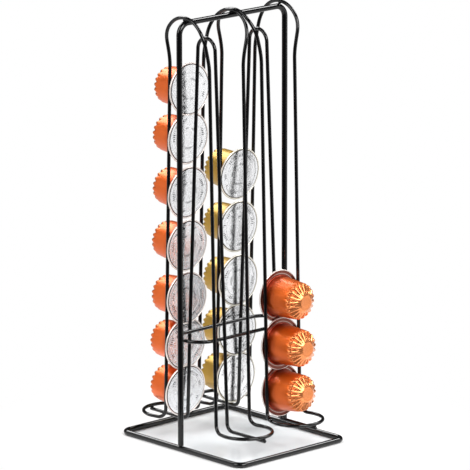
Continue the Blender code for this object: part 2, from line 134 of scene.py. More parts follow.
def makeAnodised(name, dye):
    # Drawn aluminium strip, dyed and sealed before pressing: a coloured metal sheen on the cup and
    # a bare bright curled edge. Painted shade darkens the wall towards its foot, a painted
    # reflection of the white table makes the end paler, and a painted reflection of the dark
    # surroundings makes the flange a dull dark brown. A lighter line lies in the flange's colour at
    # its step.
    material, tree = newMaterial(name)
    local = addNode(tree, "ShaderNodeAttribute", attribute_name="capsulePoint")
    parts = addNode(tree, "ShaderNodeSeparateXYZ", {"Vector": local.outputs["Vector"]})
    flat = addNode(tree, "ShaderNodeCombineXYZ", {"X": parts.outputs["X"], "Y": parts.outputs["Y"]})
    radius = addNode(tree, "ShaderNodeVectorMath", {0: flat.outputs["Vector"]}, operation="LENGTH")
    onFlange = addNode(tree, "ShaderNodeMapRange", {
        "Value": radius.outputs["Value"], "From Min": anodised["flangeMm"] * mm,
        "From Max": (anodised["flangeMm"] + anodised["flangeSoftMm"]) * mm},
        interpolation_type="SMOOTHSTEP")
    outer = addNode(tree, "ShaderNodeMapRange", {
        "Value": radius.outputs["Value"], "From Min": anodised["beadMm"] * mm,
        "From Max": (anodised["beadMm"] + anodised["beadSoftMm"]) * mm},
        interpolation_type="SMOOTHSTEP")
    rear = addNode(tree, "ShaderNodeMapRange", {
        "Value": parts.outputs["Z"], "From Max": anodised["backMm"] * mm,
        "From Min": (anodised["backMm"] + anodised["backSoftMm"]) * mm})
    onBead = addNode(tree, "ShaderNodeMath", {0: outer.outputs["Result"],
                                              1: rear.outputs["Result"]}, operation="MAXIMUM")
    mottle = addNode(tree, "ShaderNodeTexNoise", {
        "Vector": local.outputs["Vector"], "Scale": 1 / (anodised["mottleMm"] * mm),
        "Detail": 2.0})
    drawn = addNode(tree, "ShaderNodeMapping", {
        "Vector": local.outputs["Vector"], "Scale": (1.0, 1.0, anodised["streakStretch"])})
    streak = addNode(tree, "ShaderNodeTexNoise", {
        "Vector": drawn.outputs["Vector"], "Scale": 1 / (anodised["streakMm"] * mm),
        "Detail": 2.0})
    # Painted shade: the wall's colour darkens towards its foot, standing in for the shade there;
    # the mottle is the dye's own uneven tone
    atFootShade = addNode(tree, "ShaderNodeMapRange", {
        "Value": parts.outputs["Z"], "From Min": anodised["footShadeToMm"] * mm,
        "From Max": anodised["footShadeFromMm"] * mm, "To Max": anodised["footShadeShare"]})
    mottled = addNode(tree, "ShaderNodeMath", {
        0: mottle.outputs["Fac"], 1: anodised["mottleShare"]}, operation="MULTIPLY")
    shadeAndMottleShare = addNode(tree, "ShaderNodeMath", {0: atFootShade.outputs["Result"],
                                                 1: mottled.outputs["Value"]}, operation="ADD")
    wall = addNode(tree, "ShaderNodeMix", {
        "Factor": shadeAndMottleShare.outputs["Value"], 6: fromHex(dye["wall"]), 7: fromHex(dye["foot"])},
        data_type="RGBA")
    # Painted reflection: the end is painted paler, standing in for the white table that it mirrors
    paintedReflectionOnEnd = addNode(tree, "ShaderNodeMapRange", {
        "Value": parts.outputs["Z"], "From Min": anodised["endFromMm"] * mm,
        "From Max": anodised["endAtMm"] * mm})
    cup = addNode(tree, "ShaderNodeMix", {
        "Factor": paintedReflectionOnEnd.outputs["Result"], 6: wall.outputs[2], 7: fromHex(dye["end"])},
        data_type="RGBA")
    # Painted reflection: the flange is painted a dark brown that stands in for the dark
    # surroundings it mirrors
    withFlangeShade = addNode(tree, "ShaderNodeMix", {
        "Factor": onFlange.outputs["Result"], 6: cup.outputs[2],
        7: fromHex(dye["flange"])}, data_type="RGBA")
    # A lighter line in the flange's colour at its step
    step = between(tree, radius.outputs["Value"], anodised["stepMm"] * mm,
                   (anodised["stepMm"] + anodised["stepWidthMm"]) * mm,
                   anodised["stepSoftMm"] * mm)
    stepLine = addNode(tree, "ShaderNodeMath", {0: step, 1: anodised["stepShare"]},
                   operation="MULTIPLY")
    bright = addNode(tree, "ShaderNodeMath", {0: stepLine.outputs["Value"],
                                              1: onBead.outputs["Value"]}, operation="MAXIMUM")
    colour = addNode(tree, "ShaderNodeMix", {
        "Factor": bright.outputs["Value"], 6: withFlangeShade.outputs[2],
        7: fromHex(dye["bead"])}, data_type="RGBA")
    # Pressing the end has polished it, drawing the wall has left it satin
    cupRough = addNode(tree, "ShaderNodeMapRange", {
        "Value": parts.outputs["Z"], "From Min": anodised["endFromMm"] * mm,
        "From Max": anodised["endAtMm"] * mm, "To Min": anodised["wallRoughness"],
        "To Max": anodised["endRoughness"]})
    rough = addNode(tree, "ShaderNodeMix", {
        "Factor": onFlange.outputs["Result"], 2: cupRough.outputs["Result"],
        3: anodised["rimRoughness"]})
    metal = addNode(tree, "ShaderNodeMapRange", {
        "Value": onBead.outputs["Value"], "To Min": anodised["metal"],
        "To Max": anodised["beadMetal"]})
    bump = addNode(tree, "ShaderNodeBump", {
        "Height": streak.outputs["Fac"], "Distance": anodised["streakDepthMm"] * mm,
        "Strength": 1.0})
    shader = addNode(tree, "ShaderNodeBsdfPrincipled", {
        "Base Color": colour.outputs[2], "Metallic": metal.outputs["Result"],
        "Roughness": rough.outputs[0], "Coat Weight": anodised["coat"],
        "Coat Roughness": anodised["coatRoughness"], "Normal": bump.outputs["Normal"]})
    addNode(tree, "ShaderNodeOutputMaterial", {"Surface": shader.outputs["BSDF"]})
    return material


foil = {
    "colour": "fafafb", "shade": "ebecee", "ink": "4c4d51", "edge": "2e2e31", "metal": 0.93,
    "roughness": 0.08, "creaseMm": 1.5, "creaseDepthMm": 0.12, "grainMm": 0.6,
    "grainDepthMm": 0.045, "innerFromMm": 6.4, "innerToMm": 7.9, "ringMm": 11.2,
    "ringWidthMm": 0.35, "embossMm": 0.04, "softMm": 0.1, "ticks": 60, "tickFrom": 0.2,
    "tickTo": 0.65, "tickSoft": 0.08, "tickFromMm": 12.4, "tickToMm": 14.3, "groupMm": 7.0,
    "wornFrom": 0.48, "wornTo": 0.52, "edgeFromMm": 16.85, "edgeAtMm": 16.95,
}


def makeFoil():
    # Thin silver lidding foil, lacquered, embossed and crumpled by sealing: a near mirror whose
    # creases tear the wires' reflections into ragged bands, with two worn rings of ticks.
    material, tree = newMaterial("Aluminium lidding foil, embossed")
    local = addNode(tree, "ShaderNodeAttribute", attribute_name="capsulePoint")
    parts = addNode(tree, "ShaderNodeSeparateXYZ", {"Vector": local.outputs["Vector"]})
    flat = addNode(tree, "ShaderNodeCombineXYZ", {"X": parts.outputs["X"], "Y": parts.outputs["Y"]})
    radius = addNode(tree, "ShaderNodeVectorMath", {0: flat.outputs["Vector"]},
                     operation="LENGTH").outputs["Value"]
    angle = addNode(tree, "ShaderNodeMath", {0: parts.outputs["Y"], 1: parts.outputs["X"]},
                    operation="ARCTAN2")
    turn = addNode(tree, "ShaderNodeMath", {
        0: angle.outputs["Value"], 1: foil["ticks"] / (2 * math.pi)}, operation="MULTIPLY")
    part = addNode(tree, "ShaderNodeMath", {0: turn.outputs["Value"]}, operation="FRACT")
    tick = between(tree, part.outputs["Value"], foil["tickFrom"], foil["tickTo"],
                   foil["tickSoft"])
    soft = foil["softMm"] * mm
    outerBand = between(tree, radius, foil["tickFromMm"] * mm, foil["tickToMm"] * mm, soft)
    innerBand = between(tree, radius, foil["innerFromMm"] * mm, foil["innerToMm"] * mm, soft)
    band = addNode(tree, "ShaderNodeMath", {0: outerBand, 1: innerBand},
                   operation="ADD").outputs["Value"]
    groups = addNode(tree, "ShaderNodeTexNoise", {
        "Vector": flat.outputs["Vector"], "Scale": 1 / (foil["groupMm"] * mm),
        "Detail": 1.0})
    unworn = addNode(tree, "ShaderNodeMapRange", {
        "Value": groups.outputs["Fac"], "From Min": foil["wornFrom"],
        "From Max": foil["wornTo"]})
    ticks = addNode(tree, "ShaderNodeMath", {0: tick, 1: band}, operation="MULTIPLY")
    marks = addNode(tree, "ShaderNodeMath", {0: ticks.outputs["Value"],
                                             1: unworn.outputs["Result"]},
                    operation="MULTIPLY")
    ring = between(tree, radius, foil["ringMm"] * mm,
                   (foil["ringMm"] + foil["ringWidthMm"]) * mm, soft)
    crease = addNode(tree, "ShaderNodeTexNoise", {
        "Vector": local.outputs["Vector"], "Scale": 1 / (foil["creaseMm"] * mm), "Detail": 3.0,
        "Roughness": 0.6})
    grain = addNode(tree, "ShaderNodeTexVoronoi", {
        "Vector": local.outputs["Vector"], "Scale": 1 / (foil["grainMm"] * mm)})
    sheen = addNode(tree, "ShaderNodeMix", {
        "Factor": crease.outputs["Fac"], 6: fromHex(foil["colour"]), 7: fromHex(foil["shade"])},
        data_type="RGBA")
    inked = addNode(tree, "ShaderNodeMix", {
        "Factor": marks.outputs["Value"], 6: sheen.outputs[2], 7: fromHex(foil["ink"])},
        data_type="RGBA")
    atEdge = addNode(tree, "ShaderNodeMapRange", {
        "Value": radius, "From Min": foil["edgeFromMm"] * mm, "From Max": foil["edgeAtMm"] * mm})
    colour = addNode(tree, "ShaderNodeMix", {
        "Factor": atEdge.outputs["Result"], 6: inked.outputs[2], 7: fromHex(foil["edge"])},
        data_type="RGBA")
    embossBump = addNode(tree, "ShaderNodeBump", {
        "Height": ring, "Distance": foil["embossMm"] * mm, "Strength": 1.0})
    creaseBump = addNode(tree, "ShaderNodeBump", {
        "Height": crease.outputs["Fac"], "Distance": foil["creaseDepthMm"] * mm,
        "Strength": 1.0, "Normal": embossBump.outputs["Normal"]})
    grainBump = addNode(tree, "ShaderNodeBump", {
        "Height": grain.outputs["Distance"], "Distance": foil["grainDepthMm"] * mm,
        "Strength": 1.0, "Normal": creaseBump.outputs["Normal"]})
    shader = addNode(tree, "ShaderNodeBsdfPrincipled", {
        "Base Color": colour.outputs[2], "Metallic": foil["metal"],
        "Roughness": foil["roughness"], "Normal": grainBump.outputs["Normal"]})
    addNode(tree, "ShaderNodeOutputMaterial", {"Surface": shader.outputs["BSDF"]})
    return material


enamelMaterial = makeEnamel()
cupMaterials = {word: makeAnodised(f"{word.capitalize()} anodised aluminium, satin", dye)
                for word, dye in dyes.items()}
foilMaterial = makeFoil()
print("finishes made")


def newTree(name, sockets):
    tree = bpy.data.node_groups.new(name, "GeometryNodeTree")
    face = tree.interface
    face.new_socket("Geometry", in_out="INPUT", socket_type="NodeSocketGeometry")
    for label, kind in sockets.items():
        face.new_socket(label, in_out="INPUT", socket_type="NodeSocket" + kind)
    face.new_socket("Geometry", in_out="OUTPUT", socket_type="NodeSocketGeometry")
    return tree, addNode(tree, "NodeGroupInput")


def endTree(tree, geometry, material):
    whole = addNode(tree, "GeometryNodeRealizeInstances", {"Geometry": geometry})
    painted = addNode(tree, "GeometryNodeSetMaterial", {
        "Geometry": whole.outputs["Geometry"], "Material": material})
    addNode(tree, "NodeGroupOutput", {"Geometry": painted.outputs["Geometry"]})


def meshFromTree(mesh, tree, values):
    # Runs the tree on the mesh and returns the plain mesh that comes out
    carrier = bpy.data.objects.new("carrier", mesh)
    bpy.context.scene.collection.objects.link(carrier)
    modifier = carrier.modifiers.new("nodes", "NODES")
    modifier.node_group = tree
    for item in tree.interface.items_tree:
        if item.in_out == "INPUT" and item.name in values:
            modifier[item.identifier] = values[item.name]
    evaluated = carrier.evaluated_get(bpy.context.evaluated_depsgraph_get())
    result = bpy.data.meshes.new_from_object(evaluated)
    carrier.modifiers.clear()
    bpy.data.objects.remove(carrier, do_unlink=True)
    return result


def addPiece(name, mesh, body, slot, *nodes):
    piece = bpy.data.objects.new(name, mesh)
    mesh.name = name
    bpy.context.scene.collection.objects.link(piece)
    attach(piece, body)
    if nodes:
        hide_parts(*nodes)
    return piece


def smoothstep(share):
    share = min(1.0, max(0.0, share))
    return share * share * (3 - 2 * share)


def makeWireTree():
    tree, given = newTree("Bent wire", {"Wire diameter": "Float", "Sides": "Int",
                                        "Finish": "Material"})
    line = addNode(tree, "GeometryNodeMeshToCurve", {"Mesh": given.outputs["Geometry"]})
    thickness = addNode(tree, "GeometryNodeInputNamedAttribute", {"Name": "thickness"},
                        data_type="FLOAT")
    half = addNode(tree, "ShaderNodeMath", {0: given.outputs["Wire diameter"], 1: 0.5},
                   operation="MULTIPLY")
    section = addNode(tree, "GeometryNodeCurvePrimitiveCircle", {
        "Resolution": given.outputs["Sides"], "Radius": half.outputs["Value"]})
    tube = addNode(tree, "GeometryNodeCurveToMesh", {
        "Curve": line.outputs["Curve"], "Profile Curve": section.outputs["Curve"],
        "Scale": thickness.outputs["Attribute"], "Fill Caps": True})
    smooth = addNode(tree, "GeometryNodeSetShadeSmooth", {"Geometry": tube.outputs["Mesh"]})
    endTree(tree, smooth.outputs["Geometry"], given.outputs["Finish"])
    return tree


wireTree = makeWireTree()
wire = {"thickMm": 4.0, "thinMm": 2.5, "gapMm": 0.3, "thickSides": 32, "thinSides": 24,
        "bendStepDeg": 4.0, "tipSteps": 7, "tipShare": 0.32, "tipWidth": 0.25}
samePointMm = 1e-4


def arc(centre, radius, start, end, across, up):
    # Points on an arc, in degrees, from the across axis towards the up axis
    count = max(2, math.ceil(abs(end - start) / wire["bendStepDeg"])) + 1
    angles = np.radians(np.linspace(start, end, count))
    return (np.array(centre) + radius * np.outer(np.cos(angles), across)
            + radius * np.outer(np.sin(angles), up))


def addWire(name, points, diameter, sides, closed, roundedEnds=False):
    points = np.array(points, float)
    keep = np.ones(len(points), bool)
    keep[1:] = np.linalg.norm(np.diff(points, axis=0), axis=1) > samePointMm
    points = points[keep]
    thickness = np.ones(len(points))
    if roundedEnds:
        # Cut ends, rounded over by the enamel that gathers on them
        share = np.linspace(0, 1, wire["tipSteps"])
        width = wire["tipWidth"] + (1 - wire["tipWidth"]) * np.sqrt(1 - (1 - share) ** 2)
        caps = []
        for tip, nextPoint in ((points[0], points[1]), (points[-1], points[-2])):
            inward = (nextPoint - tip) / np.linalg.norm(nextPoint - tip)
            caps.append(tip + np.outer(diameter * wire["tipShare"] * share, inward))
        points = np.concatenate([caps[0], points[1:-1], caps[1][::-1]])
        thickness = np.concatenate([width, thickness[1:-1], width[::-1]])
    mesh = bpy.data.meshes.new(name + " line")
    count = len(points)
    edges = [(at, at + 1) for at in range(count - 1)] + ([(count - 1, 0)] if closed else [])
    mesh.from_pydata((points * mm).tolist(), edges, [])
    mesh.attributes.new("thickness", "FLOAT", "POINT").data.foreach_set("value", thickness)
    tube = meshFromTree(mesh, wireTree, {"Wire diameter": diameter * mm, "Sides": sides,
                                         "Finish": enamelMaterial})
    for vertex in tube.vertices:
        vertex.co.z = max(0.0, vertex.co.z)  # the base ring rests on a narrow flat
    return addPiece(name + "_wire", tube, "frame", "black_wire", name)


def mirror(points, x=1, y=1):
    return np.array(points) * (x, y, 1)


base = {"widthMm": 98.3, "depthMm": 119.4, "cornerMm": 6.0, "restMm": 0.15}
halfThick, halfThin = wire["thickMm"] / 2, wire["thinMm"] / 2
baseZ = halfThick - base["restMm"]


def basePath():
    reachX = base["widthMm"] / 2 - base["cornerMm"]
    reachY = base["depthMm"] / 2 - base["cornerMm"]
    return np.concatenate([
        arc((sideX * reachX, sideY * reachY, baseZ), base["cornerMm"], start, start + 90,
            (1, 0, 0), (0, 1, 0))
        for sideX, sideY, start in ((1, 1, 0), (-1, 1, 90), (-1, -1, 180), (1, -1, 270))])


hoop = {"topMm": 299.7, "cornerMm": 8.0}


def hoopPath():
    legX = base["widthMm"] / 2
    corner = arc((legX - hoop["cornerMm"], 0, hoop["topMm"] - hoop["cornerMm"]),
                 hoop["cornerMm"], 0, 90, (1, 0, 0), (0, 0, 1))
    foot = [(legX, 0, baseZ + halfThick + wire["gapMm"])]
    half = np.concatenate([foot, corner])
    return np.concatenate([half, mirror(half[::-1], x=-1)])


guide = {
    "channelX": 24.1, "spreadMm": 15.6, "lowY": 26.2, "archMm": 19.4, "flareDropMm": 17.0,
    "outerFlareMm": 4.6, "outerFlareEndMm": 18.0, "innerFlareMm": 7.1, "innerFlareEndMm": 9.0,
    "loopZ": 16.8, "loopMm": 18.4, "loopY": 38.4, "bendMm": 6.0,
    "strandSteps": 45, "footSteps": 28,
}
archTop = hoop["topMm"] + halfThick + halfThin + wire["gapMm"]
archZ = archTop - guide["archMm"]


def guideY(z):
    return guide["lowY"] + (guide["archMm"] - guide["lowY"]) * z / archZ


def strandPath(side, flare, flareEnd):
    # From the top of the arch down to the tip of the landing loop
    quarter = guide["archMm"] * math.pi / 2
    flareStart = quarter + guide["flareDropMm"]
    path = []
    for along in np.linspace(0, flareStart, guide["strandSteps"]):
        spread = guide["spreadMm"] + flare * smoothstep(
            (flareStart - along) / (flareStart - flareEnd))
        angle = math.pi / 2 - min(along, quarter) / guide["archMm"]
        z = archZ + guide["archMm"] * math.sin(angle) - max(0, along - quarter)
        y = guide["archMm"] * math.cos(angle) if along < quarter else guideY(z)
        path.append((guide["channelX"] + side * spread, y, z))
    bendZ = guide["loopZ"] + guide["bendMm"]
    bendY = guideY(bendZ) + guide["bendMm"]
    bendLength = guide["bendMm"] * math.pi / 2
    easeLength = bendLength + guide["loopY"] - bendY
    widening = guide["loopMm"] - guide["spreadMm"]
    for along in np.linspace(0, easeLength, guide["footSteps"]):
        spread = guide["spreadMm"] + widening * smoothstep(along / easeLength)
        angle = math.pi + min(along, bendLength) / guide["bendMm"]
        y = bendY + guide["bendMm"] * math.cos(angle) + max(0, along - bendLength)
        z = bendZ + guide["bendMm"] * math.sin(angle)
        path.append((guide["channelX"] + side * spread, y, z))
    tip = arc((guide["channelX"], guide["loopY"], guide["loopZ"]), guide["loopMm"], 0, 90,
              (side, 0, 0), (0, 1, 0))
    return np.concatenate([path, tip[1:]])


def guidePath():
    outerStrand = strandPath(1, guide["outerFlareMm"], guide["outerFlareEndMm"])
    innerStrand = strandPath(-1, guide["innerFlareMm"], guide["innerFlareEndMm"])
    front = np.concatenate([outerStrand, innerStrand[::-1][1:]])
    back = mirror(front[::-1], y=-1)
    return np.concatenate([front, back[1:-1]])


inner = {"footY": 19.9, "ringY": 17.7, "archMm": 8.6, "topMm": 286.5, "bendMm": 5.5,
         "overrunMm": 1.6}
footZ = guide["loopZ"] - wire["thinMm"] - wire["gapMm"]
footEnd = guide["loopY"] + guide["loopMm"] + inner["overrunMm"]
spreader = {"z": 78.2}


def innerPath():
    x = guide["channelX"]
    arch = arc((x, 0, inner["topMm"] - inner["archMm"]), inner["archMm"], 90, 0,
               (0, 1, 0), (0, 0, 1))
    bend = arc((x, inner["footY"] + inner["bendMm"], footZ + inner["bendMm"]), inner["bendMm"],
               180, 270, (0, 1, 0), (0, 0, 1))
    ring = [(x, inner["ringY"], spreader["z"])]
    half = np.concatenate([arch, ring, bend, [(x, footEnd, footZ)]])
    return np.concatenate([mirror(half[::-1], y=-1), half[1:]])


def spreaderPath():
    reachY = inner["ringY"] - wire["thinMm"] - wire["gapMm"]
    reachX = base["widthMm"] / 2 - halfThick - halfThin - wire["gapMm"] - reachY
    end = arc((reachX, 0, spreader["z"]), reachY, -90, 90, (1, 0, 0), (0, 1, 0))
    return np.concatenate([end, end * (-1, -1, 1)])


addWire("base_ring", basePath(), wire["thickMm"], wire["thickSides"], True)
addWire("hoop", hoopPath(), wire["thickMm"], wire["thickSides"], False)
for word, sideX in (("left", -1), ("right", 1)):
    addWire(word + "_guide_loop", mirror(guidePath(), x=sideX), wire["thinMm"],
            wire["thinSides"], True)
    addWire(word + "_inner_guide", mirror(innerPath(), x=sideX), wire["thinMm"],
            wire["thinSides"], False, roundedEnds=True)
addWire("spreader_ring", spreaderPath(), wire["thinMm"], wire["thinSides"], True)
print("wires made")


weld = {"lengthMm": 2.6, "widthMm": 1.9, "unevenness": 0.16, "lumps": 2.6,
        "subdivisions": 4, "cornerShare": 0.4}


def makeWeldTree():
    # A ball one unit across, made uneven and stretched to a nugget's size at each place
    tree, given = newTree("Weld nuggets", {"Nugget length": "Float", "Nugget width": "Float",
                                           "Unevenness": "Float", "Finish": "Material"})
    ball = addNode(tree, "GeometryNodeMeshIcoSphere", {
        "Radius": 0.5, "Subdivisions": weld["subdivisions"]})
    place = addNode(tree, "GeometryNodeInputPosition")
    lump = addNode(tree, "ShaderNodeTexNoise", {
        "Vector": place.outputs["Position"], "Scale": weld["lumps"], "Detail": 2.0})
    centred = addNode(tree, "ShaderNodeMath", {0: lump.outputs["Fac"], 1: 0.5},
                      operation="SUBTRACT")
    size = addNode(tree, "ShaderNodeMath", {0: centred.outputs["Value"],
                                            1: given.outputs["Unevenness"]},
                   operation="MULTIPLY")
    normal = addNode(tree, "GeometryNodeInputNormal")
    push = addNode(tree, "ShaderNodeVectorMath", {
        0: normal.outputs["Normal"], "Scale": size.outputs["Value"]}, operation="SCALE")
    lumpy = addNode(tree, "GeometryNodeSetPosition", {
        "Geometry": ball.outputs["Mesh"], "Offset": push.outputs["Vector"]})
    smooth = addNode(tree, "GeometryNodeSetShadeSmooth", {"Geometry": lumpy.outputs["Geometry"]})
    along = addNode(tree, "GeometryNodeInputNamedAttribute", {"Name": "along"},
                    data_type="FLOAT_VECTOR")
    away = addNode(tree, "GeometryNodeInputNamedAttribute", {"Name": "away"},
                   data_type="FLOAT_VECTOR")
    turn = addNode(tree, "FunctionNodeAxesToRotation", {
        "Primary Axis": away.outputs["Attribute"], "Secondary Axis": along.outputs["Attribute"]},
        primary_axis="Z", secondary_axis="X")
    scale = addNode(tree, "ShaderNodeCombineXYZ", {
        "X": given.outputs["Nugget length"], "Y": given.outputs["Nugget width"],
        "Z": given.outputs["Nugget width"]})
    nuggets = addNode(tree, "GeometryNodeInstanceOnPoints", {
        "Points": given.outputs["Geometry"], "Instance": smooth.outputs["Geometry"],
        "Rotation": turn.outputs["Rotation"], "Scale": scale.outputs["Vector"]})
    endTree(tree, nuggets.outputs["Instances"], given.outputs["Finish"])
    return tree


def weldPlaces():
    # Where each nugget sits, the wire that it lies along and the way the two wires part
    barX = base["widthMm"] / 2
    rows = []
    for sideX in (-1, 1):
        rows.append(((sideX * barX, 0, baseZ + halfThick), (0, 1, 0), (0, 0, 1)))
        ringX = barX - halfThick - wire["gapMm"] / 2
        rows.append(((sideX * ringX, 0, spreader["z"]), (0, 1, 0), (1, 0, 0)))
        for flare, side in ((guide["outerFlareMm"], 1), (guide["innerFlareMm"], -1)):
            x = guide["channelX"] + side * (guide["spreadMm"] + flare)
            rows.append(((sideX * min(x, barX - hoop["cornerMm"] * weld["cornerShare"]), 0,
                          hoop["topMm"] + halfThick), (1, 0, 0), (0, 0, 1)))
        for sideY in (-1, 1):
            x = sideX * guide["channelX"]
            ringY = inner["ringY"] - halfThin - wire["gapMm"] / 2
            rows.append(((x, sideY * ringY, spreader["z"]), (1, 0, 0), (0, 1, 0)))
            rows.append(((x, sideY * (guide["loopY"] + guide["loopMm"]),
                          guide["loopZ"] - halfThin - wire["gapMm"] / 2), (1, 0, 0), (0, 0, 1)))
    return rows


def addWelds():
    places, along, away = zip(*weldPlaces())
    mesh = bpy.data.meshes.new("weld places")
    mesh.from_pydata((np.array(places) * mm).tolist(), [], [])
    for name, values in (("along", along), ("away", away)):
        flat = np.array(values, np.float32).ravel()
        mesh.attributes.new(name, "FLOAT_VECTOR", "POINT").data.foreach_set("vector", flat)
    nuggets = meshFromTree(mesh, makeWeldTree(), {
        "Nugget length": weld["lengthMm"] * mm, "Nugget width": weld["widthMm"] * mm,
        "Unevenness": weld["unevenness"], "Finish": enamelMaterial})
    addPiece("weld_nuggets", nuggets, "frame", "black_wire")


addWelds()
print("welds made")


mergeMm = 0.002


def makeTurnedTree():
    # Turns a profile round Z and presses lobes into it. The profile's points carry how deep
    # the lobes are there and which way they are pressed. A faint random lift creases it.
    tree, given = newTree("Pressed and turned", {
        "Segments": "Int", "Lobes": "Int", "Lobe sharpness": "Float", "Crease height": "Float",
        "Crease size": "Float", "Seed": "Float", "Finish": "Material"})
    count = addNode(tree, "GeometryNodeAttributeDomainSize", {
        "Geometry": given.outputs["Geometry"]})
    columns = addNode(tree, "ShaderNodeMath", {0: given.outputs["Segments"], 1: 1.0},
                      operation="ADD")
    grid = addNode(tree, "GeometryNodeMeshGrid", {
        "Size X": 1.0, "Size Y": 1.0, "Vertices X": columns.outputs["Value"],
        "Vertices Y": count.outputs["Point Count"]})
    place = addNode(tree, "GeometryNodeInputPosition")
    across = addNode(tree, "ShaderNodeSeparateXYZ", {"Vector": place.outputs["Position"]})
    turn = addNode(tree, "ShaderNodeMath", {0: across.outputs["X"], 1: 0.5}, operation="ADD")
    angle = addNode(tree, "ShaderNodeMath", {0: turn.outputs["Value"], 1: 2 * math.pi},
                    operation="MULTIPLY")
    share = addNode(tree, "ShaderNodeMath", {0: across.outputs["Y"], 1: 0.5}, operation="ADD")
    last = addNode(tree, "ShaderNodeMath", {0: count.outputs["Point Count"], 1: 1.0},
                   operation="SUBTRACT")
    rowAt = addNode(tree, "ShaderNodeMath", {0: share.outputs["Value"],
                                             1: last.outputs["Value"]}, operation="MULTIPLY")
    row = addNode(tree, "ShaderNodeMath", {0: rowAt.outputs["Value"]}, operation="ROUND")
    sampled = {}
    for label, kind, source in (
            ("point", "FLOAT_VECTOR", place.outputs["Position"]),
            ("depth", "FLOAT", addNode(tree, "GeometryNodeInputNamedAttribute",
                                       {"Name": "lobeDepth"}, data_type="FLOAT").outputs[0]),
            ("press", "FLOAT_VECTOR", addNode(tree, "GeometryNodeInputNamedAttribute",
                                              {"Name": "pressWay"},
                                              data_type="FLOAT_VECTOR").outputs[0])):
        sampler = addNode(tree, "GeometryNodeSampleIndex", {
            "Geometry": given.outputs["Geometry"], "Value": source,
            "Index": row.outputs["Value"]}, data_type=kind)
        sampled[label] = sampler.outputs["Value"]
    halfLobes = addNode(tree, "ShaderNodeMath", {0: given.outputs["Lobes"], 1: 0.5},
                        operation="MULTIPLY")
    phase = addNode(tree, "ShaderNodeMath", {0: angle.outputs["Value"],
                                             1: halfLobes.outputs["Value"]},
                    operation="MULTIPLY")
    cosine = addNode(tree, "ShaderNodeMath", {0: phase.outputs["Value"]}, operation="COSINE")
    crest = addNode(tree, "ShaderNodeMath", {0: cosine.outputs["Value"]}, operation="ABSOLUTE")
    shaped = addNode(tree, "ShaderNodeMath", {0: crest.outputs["Value"],
                                              1: given.outputs["Lobe sharpness"]},
                     operation="POWER")
    groove = addNode(tree, "ShaderNodeMath", {0: shaped.outputs["Value"], 1: 1.0},
                     operation="SUBTRACT")
    amount = addNode(tree, "ShaderNodeMath", {0: groove.outputs["Value"], 1: sampled["depth"]},
                     operation="MULTIPLY")
    push = addNode(tree, "ShaderNodeVectorMath", {0: sampled["press"],
                                                  "Scale": amount.outputs["Value"]},
                   operation="SCALE")
    pressed = addNode(tree, "ShaderNodeVectorMath", {0: sampled["point"],
                                                     1: push.outputs["Vector"]},
                      operation="ADD")
    turned = addNode(tree, "ShaderNodeVectorRotate", {
        "Vector": pressed.outputs["Vector"], "Angle": angle.outputs["Value"]},
        rotation_type="Z_AXIS")
    creaseScale = addNode(tree, "ShaderNodeMath", {0: 1.0, 1: given.outputs["Crease size"]},
                          operation="DIVIDE")
    crease = addNode(tree, "ShaderNodeTexNoise", {
        "Vector": turned.outputs["Vector"], "W": given.outputs["Seed"],
        "Scale": creaseScale.outputs["Value"], "Detail": 2.0}, noise_dimensions="4D")
    centred = addNode(tree, "ShaderNodeMath", {0: crease.outputs["Fac"], 1: 0.5},
                      operation="SUBTRACT")
    lift = addNode(tree, "ShaderNodeMath", {0: centred.outputs["Value"],
                                            1: given.outputs["Crease height"]},
                   operation="MULTIPLY")
    lifted = addNode(tree, "ShaderNodeCombineXYZ", {"Z": lift.outputs["Value"]})
    where = addNode(tree, "ShaderNodeVectorMath", {0: turned.outputs["Vector"],
                                                   1: lifted.outputs["Vector"]},
                    operation="ADD")
    formed = addNode(tree, "GeometryNodeSetPosition", {
        "Geometry": grid.outputs["Mesh"], "Position": where.outputs["Vector"]})
    noted = addNode(tree, "GeometryNodeStoreNamedAttribute", {
        "Geometry": formed.outputs["Geometry"], "Name": "capsulePoint",
        "Value": addNode(tree, "GeometryNodeInputPosition").outputs["Position"]},
        data_type="FLOAT_VECTOR", domain="POINT")
    closed = addNode(tree, "GeometryNodeMergeByDistance", {
        "Geometry": noted.outputs["Geometry"], "Distance": mergeMm * mm})
    smooth = addNode(tree, "GeometryNodeSetShadeSmooth", {
        "Geometry": closed.outputs["Geometry"]})
    endTree(tree, smooth.outputs["Geometry"], given.outputs["Finish"])
    return tree


turnedTree = makeTurnedTree()
capsule = {
    "heightMm": 28.0, "endFlatMm": 4.85, "shoulderMm": 12.8, "shoulderHeightMm": 23.0,
    "footMm": 14.1, "footHeightMm": 1.1, "rimMm": 18.5, "beadMm": 0.55, "webTopMm": 0.82,
    "webMm": 0.3, "wallMm": 0.35, "coneEase": 0.16, "wallEase": 0.09, "lobes": 20,
    "lobeDepthMm": 1.6, "lobeStartMm": 5.6, "lobeFullMm": 11.4, "lobeFadeMm": 3.0,
    "sharpness": 0.8, "segments": 240,
}
foilLid = {"thickMm": 0.3, "crownMm": 12.8, "crownFootMm": 0.12, "crownDipMm": 0.10,
           "creaseHeightMm": 0.10, "creaseMm": 6.0, "segments": 120}


def lobeDepth(radius, z):
    # The lobes grow from the smooth cone out to the shoulder and fade on the side wall
    out = smoothstep((radius - capsule["lobeStartMm"])
                     / (capsule["lobeFullMm"] - capsule["lobeStartMm"]))
    fade = smoothstep((z - capsule["shoulderHeightMm"] + capsule["lobeFadeMm"])
                      / capsule["lobeFadeMm"])
    return capsule["lobeDepthMm"] * out * fade


